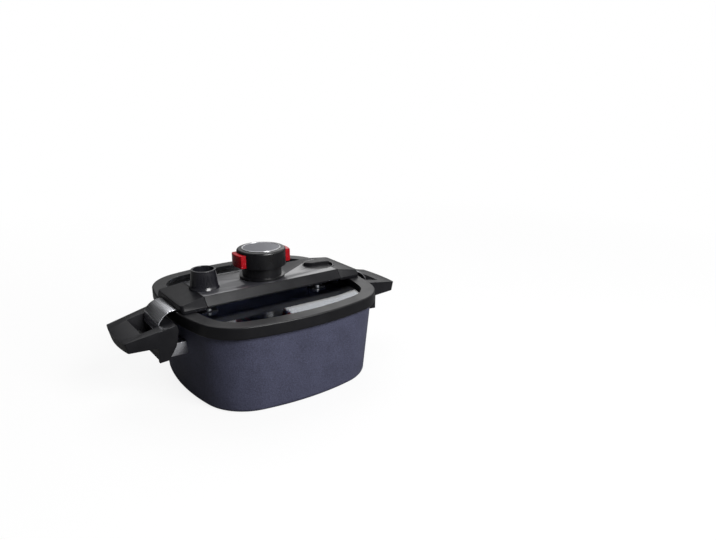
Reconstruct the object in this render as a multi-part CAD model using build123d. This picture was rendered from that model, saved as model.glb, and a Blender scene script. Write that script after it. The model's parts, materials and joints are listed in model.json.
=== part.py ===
from build123d import *
import os
from math import atan2, cos, degrees, hypot, radians, sin, sqrt

# The pan stands on z = 0 with its middle on the Z axis and its handles along X.
# A rounded square is set by its half width, its corner radius and the radius of its bowed sides.
# Every other piece takes its place from the lid ring and the pot's height.

# Lid ring
ring_half = 130.0
ring_corner = 59.0
ring_side = 326.0
ring_width = 18.0
ring_height = 15.0
ring_outer_round = 1.8
ring_foot_round = 1.6
skirt_depth = 8.0
skirt_thickness = 4.5
skirt_clearance = 1.0

# Pot
pot_height = 98.3
rim_overhang = 5.0
rim_corner = 62.0
rim_side = 345.0
base_taper = 7.3
base_corner = 64.0
base_side = 300.0
pot_seat_clearance = 0.3
wall = 3.7
base_thickness = 6.0
base_round = 6.0
cavity_round = 10.0
bead_out = 1.0
bead_height = 2.6
bead_round = 0.7
disc_radius = 86.0
disc_thickness = 3.0
disc_clearance = 0.05

# Handles, drawn on the +X side
handle_root_gap = 2.5
handle_reach = 59.5
handle_end_bow = 4.0
handle_root_half = 44.6
handle_corner_half = 36.4
handle_corner_round = 1.8
handle_root_drop = 10.4
handle_fall = 11.3
handle_root_chamfer = 1.5
handle_root_depth = 6.0
handle_corner_thickness = 12.5
handle_end_lean = 3.0
leg_reach = 23.5
leg_toe_reach = 12.9
leg_knee_reach = 3.4
leg_knee_drop = 1.0
leg_height = 19.0
leg_toe_rise = 1.5
panel_depth = 1.8
panel_half_width = 36.0
panel_drop = 3.6
panel_round = 7.0
hole_inner_reach = 14.7
hole_top_length = 26.3
hole_bottom_length = 16.8
hole_half_width = 27.0
hole_round = 2.0

# Lug, sleeve and screw that carry each handle
sleeve_half_width = 36.0
sleeve_height = 15.7
sleeve_rise = 0.8
sleeve_wall = 1.2
lug_half_width = 14.0
lug_height = 10.0
lug_clearance = 0.05
handle_screw_radius = 2.45
handle_screw_head_radius = 4.5
handle_screw_head_height = 2.7
handle_screw_grip = 20.0
screw_clearance = 0.15

# Glass and the fittings through it
glass_recess = 5.0
glass_thickness = 4.0
glass_bite = 4.0
glass_clearance = 0.05
gasket_lip = 1.0
gasket_wall = 2.0
gasket_lip_reach = 2.0

# Bridge
bridge_rise = 19.0
bridge_top_half = 34.5
bridge_side_half = 42.5
bridge_slope_height = 10.0
bridge_height = 11.5
bridge_wall = 2.2
bridge_end_gap = 4.0
bridge_end_length = 31.0
bridge_end_fall = 5.0
bridge_end_round = 4.0
seam_gap = 0.3
plate_thickness = 2.0
plate_margin = 1.0
plate_clearance = 0.1
tray_thickness = 2.0
tray_drop = 10.8
tray_end_gap = 3.0
tray_clearance = 0.6
rail_height = 1.6
rail_width = 2.0
rail_start_x = 30.0
rail_end_gap = 2.0

# Feet of the bridge on the glass
left_foot_inset = 1.0
right_foot_inset = 30.5
foot_length = 20.0
foot_side_gap = 2.5
foot_width = 10.5
foot_flange = 1.5
foot_wall = 3.0
foot_screw_inset = 3.9
foot_screw_radius = 1.75
foot_screw_head_radius = 3.1
foot_screw_head_height = 1.6
foot_nut_radius = 3.4
foot_nut_height = 3.0

# Collar, bush and knob on the middle axis
flange_radius = 29.3
flange_height = 3.0
collar_radius = 25.4
collar_height = 15.0
collar_wall = 3.0
collar_roof = 2.4
bush_radius = 8.0
bush_boss_radius = 11.0
boss_clearance = 1.0
bush_length = 12.0
bush_rim = 1.0
bush_lip = 0.8
shaft_radius = 4.5
running_clearance = 0.05
fixed_clearance = 0.02
collar_screw_circle = 27.0
collar_screw_radius = 1.0
collar_screw_head_radius = 2.2
collar_screw_head_height = 1.2
collar_screw_cover = 1.5
collar_hole_cover = 1.0
knob_gap = 1.0
knob_radius = 31.6
knob_height = 22.2
knob_wall = 3.0
knob_roof = 2.2
knob_top_round = 3.2
knob_bottom_round = 0.8
hub_radius = 9.0
hub_lift = 2.0
trim_outer_radius = 25.2
trim_inner_radius = 23.4
trim_recess = 1.2
trim_proud = 0.8
trim_round = 0.4
disc_below_trim = 0.4

# Push tabs in the knob
tab_half_width = 13.6
tab_lift = 2.0
tab_cover = 3.9
tab_proud = 6.0
tab_travel = 4.0
tab_round = 1.5
tab_clearance = 0.35
stop_lip = 1.3
stop_thickness = 2.4
spring_pressed_length = 8.5
spring_radius = 3.6
spring_wall = 0.9
spring_seat_depth = 1.0

# Cam under the knob and the two latches
cam_radius = 24.0
cam_thickness = 2.5
cam_lift = 2.1
knob_turn = 60.0
latch_travel = 4.0
pin_start = 14.0
pin_radius = 2.5
pin_clearance = 0.3
knob_screw_radius = 1.8
knob_screw_head_radius = 4.9
knob_screw_head_height = 1.6
knob_screw_length = 9.0
knob_screw_end_gap = 1.0
slide_thickness = 1.5
slide_clearance = 0.3
slide_start_x = 9.0
slide_overreach = 23.0
slide_half_width = 20.0
slide_hole_before = 20.0
slide_hole_after = 12.0
slide_hole_half_width = 13.0
slide_packing = 1.2
strap_lap = 19.5
strap_half_width = 26.0
strap_thickness = 1.2
strap_bend_reach = 9.26
strap_hook_reach = 19.4
strap_hook_drop = 9.8
strap_end_reach = 20.55
strap_end_drop = 23.0
strap_bend_radius = 22.0
strap_hook_radius = 8.0
strap_slot_clearance = 0.5
rivet_inset = 11.0
rivet_y = 12.0
rivet_radius = 2.0
rivet_head_radius = 3.5
rivet_head_height = 0.9

# Steam outlet
vent_seam_gap = 15.0
vent_height = 23.5
vent_flare_radius = 19.3
vent_foot_radius = 17.5
vent_foot_height = 3.0
vent_mouth_radius = 15.3
vent_lip_height = 2.5
vent_bore_radius = 12.8
tube_radius = 9.0
tube_bore_radius = 6.0
tube_reach = 5.5
tube_clearance = 0.2
nut_radius = 14.0
nut_height = 3.5

# Steam regulator, with the curved edge of the dial's wing seen from above
dial_seam_gap = 9.0
cup_radius = 21.6
cup_wall = 1.2
cup_floor = 1.6
cup_depth = 6.8
dial_clearance = 0.3
dial_thickness = 1.9
wing_proud = 1.4
wing_round = 1.0
wing_heel_x = -14.5
wing_heel_y = 17.0
wing_curl_x = -9.5
wing_curl_y = 9.8
wing_waist_x = 1.0
wing_waist_y = 6.2
wing_sweep_x = 9.0
wing_sweep_y = 5.4
wing_tail_x = 22.0
wing_tail_y = 1.5
stem_radius = 3.0
stem_lift = 2.0
stem_bore_clearance = 0.05

# How far a cut runs past the face that it opens
spare = 1.0

# Heights that several pieces share
ring_bottom = pot_height + pot_seat_clearance
ring_top = ring_bottom + ring_height
glass_top = ring_top - glass_recess
glass_bottom = glass_top - glass_thickness
tube_bottom = glass_bottom - tube_reach
bridge_top = glass_top + bridge_rise
bridge_side_z = bridge_top - bridge_slope_height
bridge_bottom = bridge_top - bridge_height
roof_bottom = bridge_top - plate_thickness - bridge_wall
tray_top = bridge_top - tray_drop
slide_bottom = tray_top + slide_clearance
slide_top = slide_bottom + slide_thickness
strap_top = slide_bottom - slide_packing
cam_bottom = tray_top + cam_lift
cam_top = cam_bottom + cam_thickness
collar_top = bridge_top + collar_height
knob_bottom = collar_top + knob_gap
knob_top = knob_bottom + knob_height
hub_bottom = knob_bottom + hub_lift
trim_seat = knob_top - trim_recess
tab_bottom = knob_bottom + tab_lift
tab_top = knob_top - tab_cover
tab_middle = (tab_bottom + tab_top) / 2
vent_top = bridge_top + vent_height
vent_floor = bridge_top + vent_foot_height
cup_bottom = bridge_top - cup_depth
wing_top = bridge_top + wing_proud
stem_bottom = glass_top + stem_lift
handle_root_top = ring_top - handle_root_drop
handle_corner_top = handle_root_top - handle_fall
handle_underside = handle_corner_top - handle_corner_thickness
leg_knee_z = handle_underside - leg_knee_drop
leg_bottom = handle_underside - leg_height
leg_toe_z = leg_bottom + leg_toe_rise
sleeve_bottom = leg_toe_z + sleeve_rise
sleeve_top = sleeve_bottom + sleeve_height
screw_z = (sleeve_bottom + sleeve_top) / 2
lug_bottom = screw_z - lug_height / 2
lug_top = screw_z + lug_height / 2
panel_top = handle_underside - panel_drop

# Places along X and Y that several pieces share
rim_half = ring_half - rim_overhang
base_half = rim_half - base_taper
handle_root_x = ring_half + handle_root_gap
handle_corner_x = handle_root_x + handle_reach
handle_tip_x = handle_corner_x + handle_end_bow
leg_outer_x = handle_root_x + leg_reach
leg_toe_x = handle_root_x + leg_toe_reach
leg_knee_x = handle_root_x + leg_knee_reach
hole_inner_x = handle_root_x + hole_inner_reach
screw_head_x = leg_outer_x - panel_depth - handle_screw_head_height
screw_tip_x = screw_head_x - handle_screw_grip
bridge_end_x = ring_half - bridge_end_gap
bridge_seam_x = bridge_end_x - bridge_end_length
vent_x = vent_seam_gap - bridge_seam_x
dial_x = bridge_seam_x - dial_seam_gap
cup_seat_radius = cup_radius + plate_clearance
tray_end_x = bridge_seam_x - tray_end_gap
foot_places = (left_foot_inset - tray_end_x, tray_end_x - right_foot_inset)
foot_outer_y = bridge_side_half - foot_side_gap
foot_inner_y = foot_outer_y - foot_width
foot_screw_y = foot_outer_y - foot_screw_inset
tab_inner_x = hub_radius + spring_pressed_length + tab_travel + stop_thickness
tab_face_radius = knob_radius + tab_proud
slide_end_x = bridge_seam_x + slide_overreach
slide_hole_start_x = dial_x - slide_hole_before
slide_hole_end_x = dial_x + slide_hole_after
strap_start_x = slide_end_x - strap_lap
rivet_x = slide_end_x - rivet_inset


def save(shape, name):
    export_step(shape, f"parts/{name}.step")


def mirrored(shape):
    return mirror(shape, about=Plane.YZ)


def rounded_square(half, corner, side, z):
    offset = side - half
    reach = (sqrt(4 * offset ** 2 - 8 * (offset ** 2 - (side - corner) ** 2)) - 2 * offset) / 4
    half_angle = degrees(atan2(reach, reach + offset))
    edges = []
    for quarter in range(4):
        turn = Rot(0, 0, 90 * quarter)
        edges.append(turn * CenterArc((-offset, 0), side, -half_angle, 2 * half_angle))
        edges.append(turn * CenterArc((reach, reach), corner, half_angle, 90 - 2 * half_angle))
    return Pos(0, 0, z) * make_face(edges)


def ring_outline(shrink, z):
    return rounded_square(ring_half - shrink, ring_corner - shrink, ring_side - shrink, z)


def pot_outline(shrink, z):
    share = z / pot_height
    half = base_half + (rim_half - base_half) * share - shrink
    corner = base_corner + (rim_corner - base_corner) * share - shrink
    side = base_side + (rim_side - base_side) * share - shrink
    return rounded_square(half, corner, side, z)


def rise(face, height):
    return extrude(face, amount=height, dir=(0, 0, 1))


def block(x_low, x_high, half_width, z_low, z_high):
    size = (x_high - x_low, 2 * half_width, z_high - z_low)
    return Pos((x_low + x_high) / 2, 0, (z_low + z_high) / 2) * Box(*size)


def rod(radius, z_low, z_high, x=0.0, y=0.0):
    return Pos(x, y, (z_low + z_high) / 2) * Cylinder(radius, z_high - z_low)


def rod_along_x(radius, x_low, x_high, z):
    return Pos((x_low + x_high) / 2, 0, z) * Rot(0, 90, 0) * Cylinder(radius, x_high - x_low)


def profile(points, half_width):
    face = Plane.XZ * make_face(Polyline(*points, close=True))
    return extrude(face, amount=half_width, both=True)


# Pot body

def pot_outer():
    body = loft([pot_outline(0, 0), pot_outline(0, pot_height)], ruled=True)
    return fillet(body.edges().group_by(Axis.Z)[0], base_round)


def pot_cavity():
    hollow = loft([pot_outline(wall, base_thickness), pot_outline(wall, pot_height + spare)], ruled=True)
    return fillet(hollow.edges().group_by(Axis.Z)[0], cavity_round)


def rim_bead():
    bead = rise(pot_outline(-bead_out, pot_height - bead_height), bead_height)
    edges = bead.edges().group_by(Axis.Z)
    return fillet(edges[0] + edges[-1], bead_round)


def pot_body():
    body = pot_outer() + rim_bead() - pot_cavity()
    return body - rod(disc_radius + disc_clearance, 0, disc_thickness + disc_clearance)


def induction_disc():
    return rod(disc_radius, 0, disc_thickness)


# Handle and what holds it

def leg_inner_x(z):
    share = (z - leg_toe_z) / (leg_knee_z - leg_toe_z)
    return leg_toe_x + (leg_knee_x - leg_toe_x) * share


def handle_lug(pot):
    low_end = leg_inner_x(lug_bottom) - lug_clearance
    high_end = leg_inner_x(lug_top) - lug_clearance
    side = [(base_half, lug_bottom), (low_end, lug_bottom), (high_end, lug_top), (base_half, lug_top)]
    thread = rod_along_x(handle_screw_radius + fixed_clearance, screw_tip_x, leg_toe_x, screw_z)
    return profile(side, lug_half_width) - thread - pot


def handle_sleeve(pot):
    low, high = sleeve_bottom, sleeve_top
    outer = [(base_half, low), (leg_inner_x(low), low), (leg_inner_x(high), high), (base_half, high)]
    sleeve = profile(outer, sleeve_half_width)
    inner = block(base_half, leg_toe_x, sleeve_half_width - sleeve_wall, low + sleeve_wall, high - sleeve_wall)
    return sleeve - inner - pot


def handle_half(x):
    share = (x - handle_root_x) / handle_reach
    return handle_root_half + (handle_corner_half - handle_root_half) * share


def handle_plan():
    start_x = handle_root_x - handle_root_half / 2
    start_half = handle_half(start_x)
    low, high = (handle_corner_x, -handle_corner_half), (handle_corner_x, handle_corner_half)
    edges = [
        Line((start_x, -start_half), low),
        ThreePointArc(low, (handle_tip_x, 0), high),
        Line(high, (start_x, start_half)),
        Line((start_x, start_half), (start_x, -start_half)),
    ]
    return make_face(edges)


def leaning_block():
    height = handle_root_top - leg_bottom
    lean = height * handle_end_lean / handle_corner_thickness
    start = (leg_bottom - handle_corner_top) * handle_end_lean / handle_corner_thickness
    body = extrude(Pos(start, 0, leg_bottom) * handle_plan(), amount=hypot(height, lean), dir=(lean, 0, height))
    upright = body.edges().filter_by(lambda edge: abs(edge.tangent_at(0).Z) > 0.5)
    return fillet(upright.group_by(Axis.X)[-1], handle_corner_round)


def handle_silhouette():
    fall = handle_fall / handle_reach
    far_x = handle_tip_x + handle_end_lean
    return [
        (handle_root_x + handle_root_chamfer, handle_root_top),
        (far_x, handle_root_top - fall * (far_x - handle_root_x)),
        (far_x, handle_underside),
        (leg_outer_x, handle_underside),
        (leg_outer_x, leg_bottom),
        (leg_toe_x, leg_toe_z),
        (leg_knee_x, leg_knee_z),
        (handle_root_x, handle_root_top - handle_root_depth),
    ]


def handle_hole():
    top, low = handle_root_top + spare, handle_underside - spare
    points = [
        (hole_inner_x, low),
        (hole_inner_x + hole_bottom_length, low),
        (hole_inner_x + hole_top_length, top),
        (hole_inner_x, top),
    ]
    hole = profile(points, hole_half_width)
    corners = hole.edges().filter_by(lambda edge: abs(edge.tangent_at(0).Z) > 0.5)
    return fillet(corners, hole_round)


def leg_panel():
    low = leg_bottom - panel_round
    panel = block(leg_outer_x - panel_depth, leg_outer_x + spare, panel_half_width, low, panel_top)
    return fillet(panel.edges().filter_by(Axis.X).group_by(Axis.Z)[-1], panel_round)


def handle():
    body = leaning_block() & profile(handle_silhouette(), handle_root_half + panel_depth)
    body = body - handle_hole() - leg_panel()
    body = body - rod_along_x(handle_screw_radius + screw_clearance, handle_root_x, leg_outer_x, screw_z)
    head_room = handle_screw_head_radius + 2 * screw_clearance
    return body - rod_along_x(head_room, screw_head_x, leg_outer_x + spare, screw_z)


def handle_screw():
    shank = rod_along_x(handle_screw_radius, screw_tip_x, screw_head_x, screw_z)
    head_end = screw_head_x + handle_screw_head_height
    return shank + rod_along_x(handle_screw_head_radius, screw_head_x, head_end, screw_z)


# Lid ring and glass

def lid_ring():
    height = ring_top - ring_bottom
    ring = rise(ring_outline(0, ring_bottom), height)
    ring = fillet(ring.edges().group_by(Axis.Z)[-1], ring_outer_round)
    ring = fillet(ring.edges().group_by(Axis.Z)[0], ring_foot_round)
    skirt_bottom = ring_bottom - skirt_depth
    skirt_shrink = wall + skirt_clearance
    skirt = rise(pot_outline(skirt_shrink, skirt_bottom), skirt_depth + ring_foot_round + spare)
    opening = rise(pot_outline(skirt_shrink + skirt_thickness, skirt_bottom), ring_top)
    above_glass = rise(ring_outline(ring_width, glass_top - spare), ring_top)
    groove = rise(ring_outline(ring_width - glass_bite, glass_bottom), glass_thickness)
    middle = opening & rise(ring_outline(ring_width, skirt_bottom), ring_top)
    return ring + skirt - middle - groove - above_glass


def glass_panel():
    panel = rise(ring_outline(ring_width - glass_bite + glass_clearance, glass_bottom), glass_thickness)
    for x in (vent_x, dial_x):
        panel = panel - rod(tube_radius + gasket_wall, glass_bottom, glass_top, x)
    for x, y in foot_screw_spots():
        panel = panel - rod(foot_screw_radius + screw_clearance, glass_bottom, glass_top, x, y)
    return panel


# Bridge

def bridge_section(inset, roof, bottom):
    return [
        (-bridge_side_half + inset, bottom),
        (-bridge_side_half + inset, bridge_side_z - inset / 2),
        (-bridge_top_half + inset / 2, bridge_top - roof),
        (bridge_top_half - inset / 2, bridge_top - roof),
        (bridge_side_half - inset, bridge_side_z - inset / 2),
        (bridge_side_half - inset, bottom),
    ]


def bridge_run(inset, roof, bottom, x_low, x_high):
    face = make_face(Polyline(*bridge_section(inset, roof, bottom), close=True))
    return extrude(Plane.YZ.offset(x_low) * face, amount=x_high - x_low)


def bridge_frame():
    half = bridge_seam_x - seam_gap / 2
    frame = bridge_run(0, 0, bridge_bottom, -half, half)
    frame = frame - bridge_run(bridge_wall, plate_thickness + bridge_wall, bridge_bottom, -half, half)
    plate_room = bridge_top_half - plate_margin
    frame = frame - block(-half, half, plate_room, bridge_top - plate_thickness, bridge_top)
    frame = frame - rod(bush_boss_radius + boss_clearance, roof_bottom, bridge_top)
    frame = frame - rod(tube_radius + tube_clearance, roof_bottom, bridge_top, vent_x)
    frame = frame - rod(cup_seat_radius, cup_bottom, bridge_top, dial_x)
    for x, y in collar_screw_spots():
        frame = frame - rod(collar_screw_radius + screw_clearance, roof_bottom, bridge_top, x, y)
    return frame


def bridge_plate():
    half = bridge_seam_x - seam_gap / 2
    width = bridge_top_half - plate_margin - plate_clearance
    plate = block(-half, half, width, bridge_top - plate_thickness, bridge_top)
    plate = plate - rod(bush_boss_radius + boss_clearance, roof_bottom, bridge_top)
    plate = plate - rod(tube_radius + tube_clearance, roof_bottom, bridge_top, vent_x)
    plate = plate - rod(cup_seat_radius, cup_bottom, bridge_top, dial_x)
    for x, y in collar_screw_spots():
        plate = plate - rod(collar_screw_radius + screw_clearance, roof_bottom, bridge_top, x, y)
    return plate


def end_form(inset, bottom):
    form = bridge_run(inset, inset, bottom, bridge_seam_x + seam_gap / 2, bridge_end_x - inset)
    upright = form.edges().group_by(Axis.X)[-1]
    corners = upright.filter_by(lambda edge: abs(edge.tangent_at(0).Z) > 0.3)
    form = fillet(corners, bridge_end_round - inset)
    high_z = bridge_top + spare
    falling = [
        (bridge_seam_x, bridge_top - inset),
        (bridge_end_x, bridge_top - bridge_end_fall - inset),
        (bridge_end_x, high_z),
        (bridge_seam_x, high_z),
    ]
    return form - profile(falling, bridge_side_half)


def bridge_end():
    end = end_form(0, ring_top)
    end = end - end_form(bridge_wall, ring_top)
    slot_half = strap_half_width + strap_slot_clearance
    slot_top = strap_top + strap_slot_clearance
    return end - block(bridge_end_x - 2 * bridge_end_round, bridge_end_x + spare, slot_half, ring_top, slot_top)


def bridge_end_right():
    return bridge_end() - rod(cup_seat_radius, cup_bottom, bridge_top, dial_x)


def bridge_tray():
    width = bridge_side_half - bridge_wall - tray_clearance
    tray = block(-tray_end_x, tray_end_x, width, tray_top - tray_thickness, tray_top)
    rail_y = slide_half_width + slide_clearance + rail_width / 2
    rail_end_x = tray_end_x - rail_end_gap
    for side_x in (-1, 1):
        for side_y in (-1, 1):
            middle = side_x * (rail_start_x + rail_end_x) / 2
            size = (rail_end_x - rail_start_x, rail_width, rail_height)
            tray = tray + Pos(middle, side_y * rail_y, tray_top + rail_height / 2) * Box(*size)
    for x in (vent_x, dial_x):
        tray = tray - rod(tube_radius + tube_clearance, tray_top - tray_thickness, tray_top, x)
    return tray


# Feet, their screws and nuts

def foot_screw_spots():
    return [(x, side * foot_screw_y) for x in foot_places for side in (-1, 1)]


def foot_bracket(x, side):
    top = tray_top - tray_thickness
    width = foot_outer_y - foot_inner_y
    middle = (foot_inner_y + foot_outer_y) / 2
    flange = Pos(x, side * middle, glass_top + foot_flange / 2) * Box(foot_length, width, foot_flange)
    riser_y = foot_inner_y + foot_wall / 2
    riser = Pos(x, side * riser_y, (glass_top + top) / 2) * Box(foot_length, foot_wall, top - glass_top)
    hole = rod(foot_screw_radius + screw_clearance, glass_top, glass_top + foot_flange, x, side * foot_screw_y)
    return flange + riser - hole


def foot_screw(x, y):
    seat = glass_top + foot_flange
    shank = rod(foot_screw_radius, glass_bottom - foot_nut_height, seat, x, y)
    return shank + rod(foot_screw_head_radius, seat, seat + foot_screw_head_height, x, y)


def foot_nut(x, y):
    hexagon = Pos(x, y, glass_bottom - foot_nut_height) * RegularPolygon(foot_nut_radius, 6)
    hole = rod(foot_screw_radius + fixed_clearance, glass_bottom - foot_nut_height, glass_bottom, x, y)
    return rise(hexagon, foot_nut_height) - hole


# Collar and bush

def collar_screw_spots():
    turns = [radians(60 + 120 * n) for n in range(3)]
    return [(collar_screw_circle * cos(turn), collar_screw_circle * sin(turn)) for turn in turns]


def knob_collar():
    flange_top = bridge_top + flange_height
    collar = rod(flange_radius, bridge_top, flange_top) + rod(collar_radius, flange_top, collar_top)
    hollow = rod(collar_radius - collar_wall, bridge_top, collar_top - collar_roof)
    boss = rod(bush_boss_radius, roof_bottom, collar_top)
    collar = collar - hollow + boss
    collar = collar - rod(bush_radius + fixed_clearance, roof_bottom, collar_top)
    hole_top = flange_top - collar_hole_cover
    for x, y in collar_screw_spots():
        collar = collar - rod(collar_screw_radius + fixed_clearance, bridge_top, hole_top, x, y)
    return collar


def shaft_bush():
    bush = rod(bush_radius, collar_top - bush_length, collar_top)
    bush = bush + rod(bush_radius + bush_rim, collar_top, collar_top + bush_lip)
    return bush - rod(shaft_radius + running_clearance, collar_top - bush_length, collar_top + bush_lip)


def collar_screw(x, y):
    shank = rod(collar_screw_radius, roof_bottom, bridge_top + flange_height - collar_screw_cover, x, y)
    head = rod(collar_screw_head_radius, roof_bottom - collar_screw_head_height, roof_bottom, x, y)
    return shank + head


# Knob

def tab_window():
    low, high = tab_bottom - tab_clearance, tab_top + tab_clearance
    return block(tab_inner_x, knob_radius + spare, tab_half_width + tab_clearance, low, high)


def knob_body():
    body = rod(knob_radius, knob_bottom, knob_top)
    body = fillet(body.edges().group_by(Axis.Z)[-1], knob_top_round)
    body = fillet(body.edges().group_by(Axis.Z)[0], knob_bottom_round)
    body = body - rod(trim_outer_radius + fixed_clearance, trim_seat, knob_top)
    body = body - rod(knob_radius - knob_wall, knob_bottom, trim_seat - knob_roof)
    body = body + rod(hub_radius, hub_bottom, trim_seat - knob_roof)
    body = body - tab_window() - mirrored(tab_window())
    seat_x = hub_radius - spring_seat_depth
    seat = rod_along_x(spring_radius + tab_clearance, seat_x, hub_radius + spare, tab_middle)
    body = body - seat - mirrored(seat)
    return body - rod(shaft_radius + fixed_clearance, hub_bottom, trim_seat - knob_roof)


def knob_trim_ring():
    top = knob_top + trim_proud
    ring = rod(trim_outer_radius, trim_seat, top) - rod(trim_inner_radius, trim_seat, top)
    return fillet(ring.edges().group_by(Axis.Z)[-1], trim_round)


def knob_disc():
    return rod(trim_inner_radius - fixed_clearance, trim_seat, knob_top + trim_proud - disc_below_trim)


def knob_shaft():
    top = trim_seat - knob_roof
    thread = rod(knob_screw_radius, cam_bottom, cam_bottom + knob_screw_length)
    return rod(shaft_radius, cam_bottom, top) - thread


def knob_screw():
    tip = cam_bottom + knob_screw_length - knob_screw_end_gap
    shank = rod(knob_screw_radius - fixed_clearance, cam_bottom, tip)
    return shank + rod(knob_screw_head_radius, cam_bottom - knob_screw_head_height, cam_bottom)


def pin_place(share):
    angle = radians(-knob_turn * share)
    radius = pin_start + latch_travel * share
    return radius * cos(angle), radius * sin(angle)


def cam_disc():
    disc = rod(cam_radius, cam_bottom, cam_top) - rod(shaft_radius + fixed_clearance, cam_bottom, cam_top)
    path = ThreePointArc(pin_place(0), pin_place(0.5), pin_place(1))
    slot = rise(Pos(0, 0, cam_bottom) * SlotArc(path, 2 * (pin_radius + pin_clearance)), cam_thickness)
    return disc - slot - Rot(0, 0, 180) * slot


# Push tabs and their springs

def push_tab():
    tab = rod(tab_face_radius, tab_bottom, tab_top)
    tab = tab & block(tab_inner_x, tab_face_radius + spare, tab_half_width, tab_bottom, tab_top)
    face_edges = tab.edges().filter_by(lambda edge: edge.center().X > knob_radius)
    tab = fillet(face_edges, tab_round)
    stop = block(tab_inner_x - stop_thickness, tab_inner_x, tab_half_width + stop_lip, tab_bottom, tab_top)
    return tab + stop


def tab_spring():
    low, high = hub_radius - spring_seat_depth, tab_inner_x - stop_thickness
    spring = rod_along_x(spring_radius, low, high, tab_middle)
    return spring - rod_along_x(spring_radius - spring_wall, low, high, tab_middle)


# Latches

def latch_slide():
    slide = block(slide_start_x, slide_end_x, slide_half_width, slide_bottom, slide_top)
    slide = slide - block(slide_hole_start_x, slide_hole_end_x, slide_hole_half_width, slide_bottom, slide_top)
    slide = slide + block(strap_start_x, slide_end_x, slide_half_width, strap_top, slide_bottom)
    slide = slide + rod(pin_radius, slide_top, cam_top, pin_start)
    for side in (-1, 1):
        slide = slide - rod(rivet_radius + fixed_clearance, strap_top, slide_top, rivet_x, side * rivet_y)
    return slide


def latch_strap():
    points = [
        (strap_start_x, strap_top),
        (ring_half + strap_bend_reach, strap_top),
        (ring_half + strap_hook_reach, ring_top - strap_hook_drop),
        (ring_half + strap_end_reach, ring_top - strap_end_drop),
    ]
    line = FilletPolyline(*points, radius=[strap_bend_radius, strap_hook_radius])
    section = Wire(line.edges()).offset_2d(strap_thickness, side=Side.RIGHT, closed=True)
    strap = extrude(Plane.XZ * make_face(section), amount=strap_half_width, both=True)
    low = strap_top - strap_thickness
    for side in (-1, 1):
        strap = strap - rod(rivet_radius + fixed_clearance, low, strap_top, rivet_x, side * rivet_y)
    return strap


def latch_rivets():
    rivets = []
    low = strap_top - strap_thickness
    for side in (-1, 1):
        shank = rod(rivet_radius, low, slide_top, rivet_x, side * rivet_y)
        rivets.append(shank + rod(rivet_head_radius, low - rivet_head_height, low, rivet_x, side * rivet_y))
    return rivets


# Steam outlet and regulator

def pipe_nut(x):
    top = glass_bottom - gasket_lip
    hexagon = rise(Pos(x, 0, top - nut_height) * RegularPolygon(nut_radius, 6), nut_height)
    return hexagon - rod(tube_radius + fixed_clearance, top - nut_height, top, x)


def pipe_gasket(x):
    sleeve = tube_radius + gasket_wall
    lip = sleeve + gasket_lip_reach
    gasket = rod(sleeve, glass_bottom, glass_top, x)
    gasket = gasket + rod(lip, glass_top, glass_top + gasket_lip, x)
    gasket = gasket + rod(lip, glass_bottom - gasket_lip, glass_bottom, x)
    return gasket - rod(tube_radius + fixed_clearance, glass_bottom - gasket_lip, glass_top + gasket_lip, x)


def vent_stub():
    foot_z = bridge_top + vent_foot_height
    flare = Pos(vent_x, 0, bridge_top + vent_foot_height / 2) * Cone(
        vent_flare_radius, vent_foot_radius, vent_foot_height)
    lip_z = vent_top - vent_lip_height
    cone = Pos(vent_x, 0, (foot_z + lip_z) / 2) * Cone(vent_foot_radius, vent_mouth_radius, lip_z - foot_z)
    lip = rod(vent_mouth_radius, lip_z, vent_top, vent_x)
    pipe = rod(tube_radius, tube_bottom, bridge_top, vent_x)
    stub = flare + cone + lip + pipe - rod(vent_bore_radius, vent_floor, vent_top, vent_x)
    return stub - rod(tube_bore_radius, tube_bottom, vent_floor, vent_x)


def regulator_cup():
    floor_top = cup_bottom + cup_floor
    cup = rod(cup_radius, cup_bottom, bridge_top, dial_x)
    cup = cup - rod(cup_radius - cup_wall, floor_top, bridge_top, dial_x)
    return cup - rod(stem_radius + stem_bore_clearance, cup_bottom, floor_top, dial_x)


def regulator_pipe():
    pipe = rod(tube_radius, tube_bottom, cup_bottom, dial_x)
    return pipe - rod(tube_bore_radius, tube_bottom, cup_bottom, dial_x)


def wing_plan(radius):
    start, bend = (wing_heel_x, wing_heel_y), (wing_curl_x, wing_curl_y)
    middle, sweep = (wing_waist_x, wing_waist_y), (wing_sweep_x, wing_sweep_y)
    finish = (wing_tail_x, wing_tail_y)
    beyond = radius + wing_round + spare
    rest = Polyline(finish, (beyond, wing_tail_y), (beyond, beyond), (wing_heel_x, beyond), start)
    edge = [ThreePointArc(start, bend, middle), ThreePointArc(middle, sweep, finish)]
    return Circle(radius) & make_face(edge + [rest])


def regulator_dial():
    floor_top = cup_bottom + cup_floor + dial_clearance
    radius = cup_radius - cup_wall - dial_clearance
    plate_top = floor_top + dial_thickness
    dial = rod(radius, floor_top, plate_top)
    wing = rise(Pos(0, 0, plate_top) * wing_plan(radius), wing_top - plate_top)
    wing = fillet(wing.edges().group_by(Axis.Z)[-1], wing_round)
    return Pos(dial_x, 0, 0) * (dial + wing)


def regulator_stem():
    return rod(stem_radius, stem_bottom, cup_bottom + cup_floor + dial_clearance, dial_x)


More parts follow.
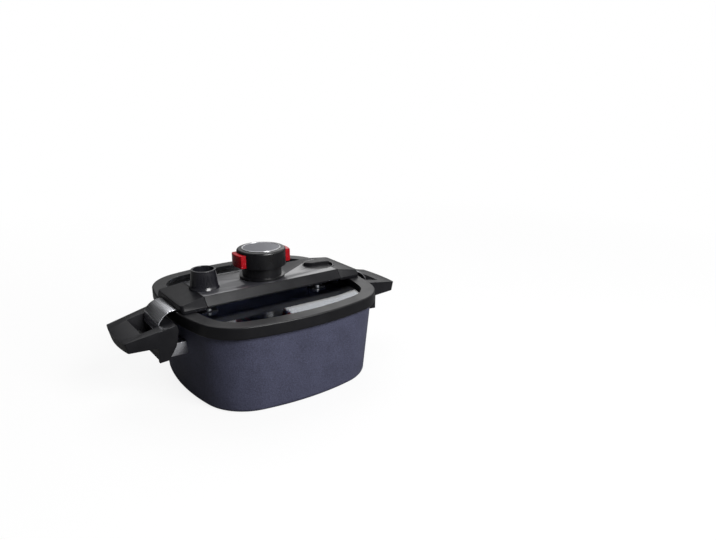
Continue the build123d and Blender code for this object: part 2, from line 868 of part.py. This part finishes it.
def build():
    os.makedirs("parts", exist_ok=True)
    save(pot_body(), "pot_body")
    save(induction_disc(), "induction_disc")
    shell = pot_outer()
    sleeve, lug = handle_sleeve(shell), handle_lug(shell)
    grip = handle()
    screw = handle_screw()
    save(grip, "handle_right")
    save(mirrored(grip), "handle_left")
    save(sleeve, "handle_sleeve_right")
    save(mirrored(sleeve), "handle_sleeve_left")
    save(lug, "handle_lug_right")
    save(mirrored(lug), "handle_lug_left")
    save(Compound([screw, mirrored(screw)]), "handle_screws")

    save(lid_ring(), "lid_ring")
    save(glass_panel(), "glass_panel")
    save(bridge_frame(), "bridge_frame")
    save(bridge_plate(), "bridge_plate")
    save(bridge_end_right(), "bridge_end_right")
    save(mirrored(bridge_end()), "bridge_end_left")
    save(bridge_tray(), "bridge_tray")
    save(Compound([foot_bracket(x, side) for x in foot_places for side in (-1, 1)]), "foot_brackets")
    save(Compound([foot_screw(x, y) for x, y in foot_screw_spots()]), "foot_screws")
    save(Compound([foot_nut(x, y) for x, y in foot_screw_spots()]), "foot_nuts")
    save(knob_collar(), "knob_collar")
    save(shaft_bush(), "shaft_bush")
    save(Compound([collar_screw(x, y) for x, y in collar_screw_spots()]), "collar_screws")
    save(vent_stub(), "vent_stub")
    save(pipe_gasket(vent_x), "vent_gasket")
    save(pipe_nut(vent_x), "vent_nut")
    save(regulator_cup(), "regulator_cup")
    save(regulator_pipe(), "regulator_pipe")
    save(pipe_gasket(dial_x), "regulator_gasket")
    save(pipe_nut(dial_x), "regulator_nut")

    save(knob_body(), "knob_body")
    save(knob_disc(), "knob_disc")
    save(knob_trim_ring(), "knob_trim_ring")
    save(knob_shaft(), "knob_shaft")
    save(knob_screw(), "knob_screw")
    save(cam_disc(), "cam_disc")

    tab, spring = push_tab(), tab_spring()
    slide, strap, rivets = latch_slide(), latch_strap(), latch_rivets()
    save(tab, "push_tab_right")
    save(mirrored(tab), "push_tab_left")
    save(spring, "tab_spring_right")
    save(mirrored(spring), "tab_spring_left")
    save(slide, "latch_slide_right")
    save(mirrored(slide), "latch_slide_left")
    save(strap, "latch_strap_right")
    save(mirrored(strap), "latch_strap_left")
    save(Compound(rivets), "latch_rivets_right")
    save(Compound([mirrored(rivet) for rivet in rivets]), "latch_rivets_left")

    save(regulator_dial(), "regulator_dial")
    save(regulator_stem(), "regulator_stem")


build()
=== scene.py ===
import bmesh
import bpy
import json
from math import radians
from mathutils import Matrix, Vector


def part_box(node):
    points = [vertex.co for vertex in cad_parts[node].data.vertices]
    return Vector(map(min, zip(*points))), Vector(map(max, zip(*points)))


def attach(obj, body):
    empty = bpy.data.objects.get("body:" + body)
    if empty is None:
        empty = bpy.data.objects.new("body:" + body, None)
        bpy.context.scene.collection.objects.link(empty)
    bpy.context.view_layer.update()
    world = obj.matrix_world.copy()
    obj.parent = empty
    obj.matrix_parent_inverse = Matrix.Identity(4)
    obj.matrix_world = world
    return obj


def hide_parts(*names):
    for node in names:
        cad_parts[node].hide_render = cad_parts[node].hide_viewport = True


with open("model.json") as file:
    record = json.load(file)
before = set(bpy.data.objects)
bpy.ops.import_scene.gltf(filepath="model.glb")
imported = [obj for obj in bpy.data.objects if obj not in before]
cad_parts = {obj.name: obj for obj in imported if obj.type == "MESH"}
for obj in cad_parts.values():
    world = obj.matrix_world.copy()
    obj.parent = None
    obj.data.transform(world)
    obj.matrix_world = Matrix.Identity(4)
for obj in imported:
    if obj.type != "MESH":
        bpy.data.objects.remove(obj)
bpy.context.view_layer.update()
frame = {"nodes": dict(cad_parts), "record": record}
nodes = frame["nodes"]
nodeBody = {}
for bodyName, members in frame["record"]["behaviour"]["bodies"].items():
    for member in members:
        nodeBody[member] = bodyName
nodeSlot = {part["node"]: part["material_slot"] for part in frame["record"]["subparts"]}
print("frame loaded:", len(nodes), "nodes")


def hexColor(code, alpha=1.0):
    # sRGB hex to the linear values that shaders take
    channels = []
    for start in (1, 3, 5):
        value = int(code[start:start + 2], 16) / 255
        channels.append(value / 12.92 if value <= 0.04045 else ((value + 0.055) / 1.055) ** 2.4)
    return (*channels, alpha)


def addNode(tree, kind, inputs=None, **settings):
    node = tree.nodes.new(kind)
    for name, value in settings.items():
        setattr(node, name, value)
    for name, value in (inputs or {}).items():
        if isinstance(value, bpy.types.NodeSocket):
            tree.links.new(value, node.inputs[name])
        else:
            node.inputs[name].default_value = value
    return node


def perMeter(sizeMm):
    # texture scale for a feature of this size on Object coordinates, which are in metres
    return 1000 / sizeMm


def newMaterial(name):
    material = bpy.data.materials.new(name)
    material.use_nodes = True
    tree = material.node_tree
    place = addNode(tree, "ShaderNodeTexCoord").outputs["Object"]
    return material, tree, tree.nodes["Principled BSDF"], place


def colorBetween(tree, factor, dark, light, low=0.35, high=0.65):
    ramp = addNode(tree, "ShaderNodeValToRGB", {"Fac": factor})
    ramp.color_ramp.elements[0].position = low
    ramp.color_ramp.elements[0].color = hexColor(dark)
    ramp.color_ramp.elements[1].position = high
    ramp.color_ramp.elements[1].color = hexColor(light)
    return ramp.outputs["Color"]


def roughnessFrom(tree, shader, pattern, limits, patternLow=0.3, patternHigh=0.7):
    spread = addNode(tree, "ShaderNodeMapRange",
                     {"Value": pattern.outputs["Fac"], "From Min": patternLow, "From Max": patternHigh,
                      "To Min": limits[0], "To Max": limits[1]})
    tree.links.new(spread.outputs["Result"], shader.inputs["Roughness"])


def bumpFrom(tree, shader, pattern, heightMm):
    bump = addNode(tree, "ShaderNodeBump",
                   {"Height": pattern.outputs["Fac"], "Distance": heightMm / 1000, "Strength": 1.0})
    tree.links.new(bump.outputs["Normal"], shader.inputs["Normal"])


def grainyFinish(name, finish):
    # colour drifts slowly, roughness follows the drift, and a fine grain lifts the surface
    material, tree, shader, place = newMaterial(name)
    drift = addNode(tree, "ShaderNodeTexNoise",
                    {"Vector": place, "Scale": perMeter(finish["driftMm"]), "Detail": 3.0})
    grain = addNode(tree, "ShaderNodeTexNoise",
                    {"Vector": place, "Scale": perMeter(finish["grainMm"]), "Detail": 2.0})
    mixed = addNode(tree, "ShaderNodeMix",
                    {"Factor": finish.get("grainColor", 0.35), "A": drift.outputs["Fac"],
                     "B": grain.outputs["Fac"]})
    tree.links.new(colorBetween(tree, mixed.outputs["Result"], finish["dark"], finish["light"]),
                   shader.inputs["Base Color"])
    roughnessFrom(tree, shader, drift, finish["roughness"])
    bumpFrom(tree, shader, grain, finish["bumpMm"])
    shader.inputs["IOR"].default_value = 1.5
    shader.inputs["Specular IOR Level"].default_value = finish["specular"]
    shader.inputs["Coat Weight"].default_value = finish.get("coat", 0.0)
    shader.inputs["Coat Roughness"].default_value = finish.get("coatRoughness", 0.1)
    return material


def brushedMetal(name, finish):
    # brush marks run along one axis and stretch the highlights across it
    material, tree, shader, place = newMaterial(name)
    along = perMeter(finish["markLengthMm"])
    across = perMeter(finish["markWidthMm"])
    scale = [across, across, across]
    scale["XYZ".index(finish["axis"])] = along
    stretched = addNode(tree, "ShaderNodeMapping", {"Vector": place, "Scale": scale})
    marks = addNode(tree, "ShaderNodeTexNoise",
                    {"Vector": stretched.outputs["Vector"], "Scale": 1.0, "Detail": 3.0})
    tree.links.new(colorBetween(tree, marks.outputs["Fac"], finish["dark"], finish["light"]),
                   shader.inputs["Base Color"])
    roughnessFrom(tree, shader, marks, finish["roughness"])
    bumpFrom(tree, shader, marks, finish["bumpMm"])
    shader.inputs["Metallic"].default_value = 1.0
    return material


# sprayed non-stick coating on cast aluminium: matt blue-grey with a fine stony grain
potCoating = {"dark": "#383949", "light": "#4c4e63", "driftMm": 26, "grainMm": 1.3, "bumpMm": 0.05,
              "roughness": (0.5, 0.58), "specular": 0.3, "grainColor": 0.7}
# spark-eroded phenolic plastic: matt black that greys where light grazes it
handlePlastic = {"dark": "#131316", "light": "#1b1b1e", "driftMm": 18, "grainMm": 1.0, "bumpMm": 0.05,
                 "roughness": (0.38, 0.46), "specular": 0.22}
# moulded silicone: satin black with a soft sheen and hardly any grain
ringSilicone = {"dark": "#0b0b0e", "light": "#111114", "driftMm": 15, "grainMm": 1.3, "bumpMm": 0.04,
                "roughness": (0.36, 0.44), "specular": 0.32}
# moulded nylon: dark grey, satin, evenly grained
bridgeNylon = {"dark": "#0f0f12", "light": "#161619", "driftMm": 16, "grainMm": 1.1, "bumpMm": 0.04,
               "roughness": (0.34, 0.42), "specular": 0.16}
# metallic lacquer under clear coat: smoky grey that mirrors what stands on it
plateLacquer = {"dark": "#333337", "light": "#3b3b40", "driftMm": 30, "grainMm": 0.8, "bumpMm": 0.0015,
                "roughness": (0.3, 0.34), "specular": 0.5, "coat": 0.55, "coatRoughness": 0.14}
# moulded ABS with a polished tool: deep black with crisp highlights
glossBlack = {"dark": "#17171c", "light": "#1f1f24", "driftMm": 16, "grainMm": 2.0, "bumpMm": 0.003,
              "roughness": (0.14, 0.2), "specular": 0.5}
# soft-touch black plastic of the knob: darker than the bridge, satin
knobPlastic = {"dark": "#0a0a0c", "light": "#101013", "driftMm": 12, "grainMm": 1.0, "bumpMm": 0.02,
               "roughness": (0.26, 0.33), "specular": 0.4}
# polished red ABS: saturated, with a thin bright highlight
redPlastic = {"dark": "#930c16", "light": "#a4121c", "driftMm": 9, "grainMm": 1.5, "bumpMm": 0.006,
              "roughness": (0.24, 0.3), "specular": 0.22}
# pressed stainless steel, brushed across the strap: bright on its crest, smoky where it turns down
strapSteel = {"dark": "#cfd0d5", "light": "#e2e3e8", "markLengthMm": 26, "markWidthMm": 0.5, "axis": "Y",
              "bumpMm": 0.0012, "roughness": (0.24, 0.3)}
# satin stainless steel of the sleeves, screws and pipes
plainSteel = {"dark": "#c4c5ca", "light": "#dcdde2", "markLengthMm": 9, "markWidthMm": 0.6, "axis": "Y",
              "bumpMm": 0.003, "roughness": (0.26, 0.36)}
# zinc-plated steel of the feet: dull, with the shade under the bridge painted into its dark colour
platedSteelPaintedShade = {"dark": "#1f2023", "light": "#2b2c30", "markLengthMm": 5, "markWidthMm": 0.8, "axis": "X",
               "bumpMm": 0.004, "roughness": (0.34, 0.46)}
# hard chrome: nearly a mirror, faintly uneven
trimChrome = {"dark": "#d2d3d6", "light": "#e2e3e6", "markLengthMm": 6, "markWidthMm": 3, "axis": "Z",
              "bumpMm": 0.001, "roughness": (0.04, 0.08)}
# turned brass of the bush
bushBrass = {"dark": "#9a7b3c", "light": "#b8954c", "markLengthMm": 8, "markWidthMm": 0.5, "axis": "Z",
             "bumpMm": 0.003, "roughness": (0.22, 0.3)}


def turnedMetal(name, finish):
    # rings left by the lathe about the part's middle catch the light in a bow
    material, tree, shader, place = newMaterial(name)
    rings = addNode(tree, "ShaderNodeTexWave",
                    {"Vector": place, "Scale": perMeter(finish["ringMm"]), "Distortion": 0.3, "Detail": 2.0},
                    wave_type="RINGS", rings_direction="Z")
    tree.links.new(colorBetween(tree, rings.outputs["Fac"], finish["dark"], finish["light"]),
                   shader.inputs["Base Color"])
    bumpFrom(tree, shader, rings, finish["bumpMm"])
    shader.inputs["Metallic"].default_value = 1.0
    shader.inputs["Roughness"].default_value = finish["roughness"]
    return material


# grey anodised aluminium of the knob's disc: silky, a little darker than bare metal
anodisedDisc = {"dark": "#686970", "light": "#6f7077", "ringMm": 5, "bumpMm": 0.003, "roughness": 0.34}
# turned stainless steel of the induction disc: concentric tool marks
inductionSteel = {"dark": "#8d8e93", "light": "#a6a7ac", "ringMm": 22, "bumpMm": 0.03, "roughness": 0.3}


# clear toughened glass with faint smears, blue where it is thick
lidGlass = {"tint": "#c3ccdb", "smearMm": 45, "smearStart": 0.4, "smearFull": 0.75, "roughness": (0.0, 0.03)}


def toughenedGlass():
    # dark where the pot shows through, white where it mirrors the room
    material, tree, shader, place = newMaterial("toughened_glass")
    smears = addNode(tree, "ShaderNodeTexNoise",
                     {"Vector": place, "Scale": perMeter(lidGlass["smearMm"]), "Detail": 4.0})
    roughnessFrom(tree, shader, smears, lidGlass["roughness"], lidGlass["smearStart"], lidGlass["smearFull"])
    shader.inputs["Base Color"].default_value = hexColor(lidGlass["tint"])
    shader.inputs["Transmission Weight"].default_value = 1.0
    shader.inputs["IOR"].default_value = 1.5
    return material


finishes = {
    "pot_coating": grainyFinish("sprayed_nonstick_coating", potCoating),
    "black_plastic": grainyFinish("spark_eroded_phenolic", handlePlastic),
    "gloss_black": grainyFinish("polished_black_abs", glossBlack),
    "ring_rubber": grainyFinish("moulded_silicone", ringSilicone),
    "clear_glass": toughenedGlass(),
    "steel": brushedMetal("satin_stainless_steel", plainSteel),
    "strap": brushedMetal("brushed_stainless_strap", strapSteel),
    "chrome": brushedMetal("hard_chrome", trimChrome),
    "bridge_plastic": grainyFinish("moulded_grey_nylon", bridgeNylon),
    "plate_lacquer": grainyFinish("smoky_metallic_lacquer", plateLacquer),
    "knob": grainyFinish("soft_touch_plastic", knobPlastic),
    "red_plastic": grainyFinish("polished_red_abs", redPlastic),
    "disc_aluminium": turnedMetal("grey_anodised_aluminium", anodisedDisc),
    "plated": brushedMetal("zinc_plated_steel", platedSteelPaintedShade),
    "induction": turnedMetal("turned_stainless_steel", inductionSteel),
    "brass": brushedMetal("turned_brass", bushBrass),
}
specialFinish = {"latch_strap_left": "strap", "latch_strap_right": "strap", "knob_body": "knob",
                 "knob_collar": "knob", "foot_brackets": "plated", "induction_disc": "induction"}


def finishOf(nodeName):
    return finishes[specialFinish.get(nodeName, nodeSlot[nodeName])]


for nodeName, node in nodes.items():
    node.data.materials.clear()
    node.data.materials.append(finishOf(nodeName))
print("finishes set")

# width of the rounded edge in mm for each piece that shows
edgeWidths = {
    "handle_left": 1.1, "handle_right": 1.1,
    "bridge_frame": 0.5, "bridge_plate": 0.35, "bridge_end_left": 0.6, "bridge_end_right": 0.6,
    "knob_collar": 0.5, "vent_stub": 0.4, "regulator_cup": 0.3, "push_tab_left": 0.5, "push_tab_right": 0.5,
    "latch_strap_left": 0.3, "latch_strap_right": 0.3,
    "handle_sleeve_left": 0.3, "handle_sleeve_right": 0.3, "foot_brackets": 0.4, "regulator_dial": 0.4,
}
mergeMm = 0.01
flatDeg = 0.6  # faces closer than this to one plane become one
sharpDeg = 32  # edges sharper than this are rolled


def standFor(nodeName, ending, mesh):
    # a new piece that takes the place, the body and the finish of a CAD node
    piece = bpy.data.objects.new(nodeName + ending, mesh)
    bpy.context.collection.objects.link(piece)
    mesh.materials.clear()
    mesh.materials.append(finishOf(nodeName))
    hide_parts(nodeName)
    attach(piece, nodeBody[nodeName])
    return piece


def softenedCopy(nodeName, widthMm):
    # the same solid with its sharp edges rolled over, as moulding and polishing leave them
    shape = bmesh.new()
    shape.from_mesh(nodes[nodeName].data)
    bmesh.ops.remove_doubles(shape, verts=shape.verts, dist=mergeMm / 1000)
    bmesh.ops.dissolve_limit(shape, angle_limit=radians(flatDeg), verts=shape.verts, edges=shape.edges)
    mesh = bpy.data.meshes.new(nodeName + "_soft")
    shape.to_mesh(mesh)
    shape.free()
    mesh.polygons.foreach_set("use_smooth", [True] * len(mesh.polygons))
    piece = standFor(nodeName, "_soft", mesh)
    roll = piece.modifiers.new("rolled_edges", "BEVEL")
    roll.width = widthMm / 1000
    roll.segments = 3
    roll.limit_method = "ANGLE"
    roll.angle_limit = radians(sharpDeg)
    roll.harden_normals = True


for nodeName, widthMm in edgeWidths.items():
    softenedCopy(nodeName, widthMm)
print("edges rolled")

# screws that show: four on the glass under the bridge, one in the back of each handle's leg
footScrew = {"headMm": 3.1, "headHighMm": 1.6, "shankMm": 1.75, "rimMm": 0.7,
             "recessMm": 1.7, "slotMm": 0.7, "depthMm": 0.8}
handleScrew = {"headMm": 4.5, "headHighMm": 2.7, "shankMm": 2.45, "rimMm": 1.1,
               "recessMm": 2.6, "slotMm": 1.0, "depthMm": 1.3}
handleScrewLengthMm = 22.7  # its head and the grip under it
levelMm = 0.02  # how far from the top a point may lie and still count as part of it
upright = 0.99  # faces whose normal rises more than this look up


def crossScrew(shape, screw, lengthMm, placing):
    # a pan-head screw standing on its tip, moved by placing once its cross recess is sunk
    size = {name: value / 1000 for name, value in screw.items()}
    length = lengthMm / 1000
    shank = bmesh.ops.create_cone(shape, cap_ends=True, segments=20, radius1=size["shankMm"],
                                  radius2=size["shankMm"], depth=length - size["headHighMm"])["verts"]
    bmesh.ops.translate(shape, verts=shank, vec=(0, 0, (length - size["headHighMm"]) / 2))
    head = bmesh.ops.create_cone(shape, cap_ends=True, segments=40, radius1=size["headMm"],
                                 radius2=size["headMm"], depth=size["headHighMm"])["verts"]
    bmesh.ops.translate(shape, verts=head, vec=(0, 0, length - size["headHighMm"] / 2))
    topLevel = length - levelMm / 1000
    rim = [edge for edge in shape.edges if all(v.co.z > topLevel for v in edge.verts)]
    bmesh.ops.bevel(shape, geom=rim, offset=size["rimMm"], offset_type="OFFSET", affect="EDGES", segments=4,
                    profile=0.5, material=-1)

    def onTop(face):
        return face.normal.z > upright and face.calc_center_median().z > topLevel

    for axis in range(2):
        for cutMm in (-screw["recessMm"], -screw["slotMm"] / 2, screw["slotMm"] / 2, screw["recessMm"]):
            normal, spot = [0, 0, 0], [0, 0, 0]
            normal[axis], spot[axis] = 1, cutMm / 1000
            top = [face for face in shape.faces if onTop(face)]
            edges = list(dict.fromkeys(edge for face in top for edge in face.edges))
            corners = list(dict.fromkeys(corner for face in top for corner in face.verts))
            bmesh.ops.bisect_plane(shape, geom=top + edges + corners, plane_co=spot, plane_no=normal)
    half, reach = size["slotMm"] / 2, size["recessMm"]

    def inCross(face):
        x, y, _ = face.calc_center_median()
        return min(abs(x), abs(y)) < half and max(abs(x), abs(y)) < reach and onTop(face)

    cross = [face for face in shape.faces if inCross(face)]
    sunk = bmesh.ops.extrude_face_region(shape, geom=cross)["geom"]
    floor = [item for item in sunk if isinstance(item, bmesh.types.BMVert)]
    bmesh.ops.translate(shape, verts=floor, vec=(0, 0, -size["depthMm"]))
    stale = [face for face in shape.faces if inCross(face)]
    bmesh.ops.delete(shape, geom=stale, context="FACES")
    bmesh.ops.transform(shape, matrix=placing, verts=shape.verts)


def screwSet(nodeName, screw, placings, lengthMm):
    whole = bmesh.new()
    for placing in placings:
        single = bmesh.new()
        crossScrew(single, screw, lengthMm, placing)
        mesh = bpy.data.meshes.new("one_screw")
        single.to_mesh(mesh)
        single.free()
        whole.from_mesh(mesh)
        bpy.data.meshes.remove(mesh)
    bmesh.ops.recalc_face_normals(whole, faces=whole.faces)
    mesh = bpy.data.meshes.new(nodeName + "_cross")
    whole.to_mesh(mesh)
    whole.free()
    standFor(nodeName, "_cross", mesh)


def footScrewPlacings():
    low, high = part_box("foot_screws")
    inset = footScrew["headMm"] / 1000
    xs, ys = (low[0] + inset, high[0] - inset), (low[1] + inset, high[1] - inset)
    return [Matrix.Translation((x, y, low[2])) for x in xs for y in ys], (high[2] - low[2]) * 1000


def handleScrewPlacings():
    # both lie along X with their heads outwards, the left one turned half round
    low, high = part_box("handle_screws")
    level = (low[2] + high[2]) / 2
    tip = high[0] - handleScrewLengthMm / 1000
    return [Matrix.Translation((side * tip, 0, level)) @ Matrix.Rotation(side * radians(90), 4, "Y")
            for side in (-1, 1)]


placings, lengthMm = footScrewPlacings()
screwSet("foot_screws", footScrew, placings, lengthMm)
screwSet("handle_screws", handleScrew, handleScrewPlacings(), handleScrewLengthMm)
print("screws made")

# lengths in metres; horizon heights and left and right ends are parts of a direction of length 1
studio = {"floorSize": 9.0, "floorDrop": 0.0002, "paperSeen": "#f2f2f2", "paperThrown": "#757575",
          "fadeStart": 0.45, "fadeEnd": 1.3, "floorWhite": 0.87, "roomFill": 0.22,
          "horizonDark": 0.05, "horizonLow": 0.02, "horizonHigh": 0.4,
          "leftDark": 0.1, "leftEnd": -0.15, "rightEnd": 0.5, "aimHeight": 0.07}


def paleFloor():
    shape = bmesh.new()
    bmesh.ops.create_grid(shape, x_segments=2, y_segments=2, size=studio["floorSize"])
    mesh = bpy.data.meshes.new("floor")
    shape.to_mesh(mesh)
    shape.free()
    floor = bpy.data.objects.new("floor", mesh)
    bpy.context.collection.objects.link(floor)
    floor.location.z = -studio["floorDrop"]
    material, tree, shader, place = newMaterial("paper_sweep")
    # matt paper near the pan, pure white for the camera further out, grey in the light that it throws back
    shader.inputs["Roughness"].default_value = 0.7
    shader.inputs["Specular IOR Level"].default_value = 0.2
    distance = addNode(tree, "ShaderNodeVectorMath", {0: place}, operation="LENGTH")
    fade = addNode(tree, "ShaderNodeMapRange",
                   {"Value": distance.outputs["Value"], "From Min": studio["fadeStart"],
                    "From Max": studio["fadeEnd"], "To Min": studio["floorWhite"], "To Max": 1.0})
    seen = addNode(tree, "ShaderNodeLightPath").outputs["Is Camera Ray"]
    paper = colorBetween(tree, seen, studio["paperThrown"], studio["paperSeen"], low=0.0, high=1.0)
    tree.links.new(paper, shader.inputs["Base Color"])
    share = addNode(tree, "ShaderNodeMath", {0: fade.outputs["Result"], 1: seen}, operation="MULTIPLY")
    glow = addNode(tree, "ShaderNodeEmission", {"Color": (1, 1, 1, 1), "Strength": 1.0})
    both = addNode(tree, "ShaderNodeMixShader",
                   {0: share.outputs[0], 1: shader.outputs[0], 2: glow.outputs[0]})
    tree.links.new(both.outputs[0], tree.nodes["Material Output"].inputs["Surface"])
    mesh.materials.append(material)


def whiteRoom():
    # white for the camera and through glass; mirrored it is dim at the horizon and white overhead;
    # the rest is fill, and both fall off towards the left
    world = bpy.data.worlds.new("white_room")
    bpy.context.scene.world = world
    world.use_nodes = True
    tree = world.node_tree
    path = addNode(tree, "ShaderNodeLightPath").outputs
    direction = addNode(tree, "ShaderNodeTexCoord").outputs["Object"]
    towards = addNode(tree, "ShaderNodeSeparateXYZ", {"Vector": direction}).outputs
    mirrored = addNode(tree, "ShaderNodeMapRange",
                       {"Value": towards["Z"], "From Min": studio["horizonLow"],
                        "From Max": studio["horizonHigh"], "To Min": studio["horizonDark"], "To Max": 1.0})
    seen = addNode(tree, "ShaderNodeMath", {0: path["Is Camera Ray"], 1: path["Is Transmission Ray"]},
                   operation="MAXIMUM")
    gloss = addNode(tree, "ShaderNodeMix", {"Factor": path["Is Glossy Ray"], "A": studio["roomFill"],
                                            "B": mirrored.outputs["Result"]})
    side = addNode(tree, "ShaderNodeMapRange",
                   {"Value": towards["X"], "From Min": studio["leftEnd"], "From Max": studio["rightEnd"],
                    "To Min": studio["leftDark"], "To Max": 1.0})
    shaded = addNode(tree, "ShaderNodeMath", {0: gloss.outputs["Result"], 1: side.outputs["Result"]},
                     operation="MULTIPLY")
    level = addNode(tree, "ShaderNodeMix", {"Factor": seen.outputs[0], "A": shaded.outputs[0], "B": 1.0})
    background = tree.nodes["Background"]
    background.inputs["Color"].default_value = (1, 1, 1, 1)
    tree.links.new(level.outputs["Result"], background.inputs["Strength"])


softBoxes = {
    "key_box": {"place": (0.25, -1.45, 1.1), "size": 0.9, "watts": 38},
    "top_box": {"place": (0.2, 0.6, 1.7), "size": 1.3, "watts": 12},
    "back_box": {"place": (1.07, 1.19, 0.66), "size": 0.7, "watts": 1.4},
    "back_fill": {"place": (0.1, 1.6, 0.9), "size": 1.0, "watts": 8, "mirrored": False},
}


def softBox(name, box):
    light = bpy.data.lights.new(name, "AREA")
    light.shape = "SQUARE"
    light.size = box["size"]
    light.energy = box["watts"]
    lamp = bpy.data.objects.new(name, light)
    bpy.context.collection.objects.link(lamp)
    lamp.location = box["place"]
    lamp.visible_glossy = box.get("mirrored", True)
    aim = Vector((0, 0, studio["aimHeight"]))
    lamp.rotation_euler = (aim - lamp.location).to_track_quat("-Z", "Y").to_euler()


photoCamera = {"place": (-0.3626, -0.7145, 0.3789), "downDeg": 17.13, "turnDeg": -35.92,
               "lensMm": 31.86, "sensorMm": 36.0, "nearest": 0.01}


def cameraAtPhotoView():
    data = bpy.data.cameras.new("photo_view")
    data.lens = photoCamera["lensMm"]
    data.sensor_width = photoCamera["sensorMm"]
    data.sensor_fit = "HORIZONTAL"
    data.clip_start = photoCamera["nearest"]
    camera = bpy.data.objects.new("photo_view", data)
    bpy.context.collection.objects.link(camera)
    camera.location = photoCamera["place"]
    camera.rotation_euler = (radians(90 - photoCamera["downDeg"]), 0, radians(photoCamera["turnDeg"]))
    bpy.context.scene.camera = camera


paleFloor()
whiteRoom()
for name, box in softBoxes.items():
    softBox(name, box)
cameraAtPhotoView()
bpy.context.scene.view_settings.view_transform = "Standard"
print("studio ready")
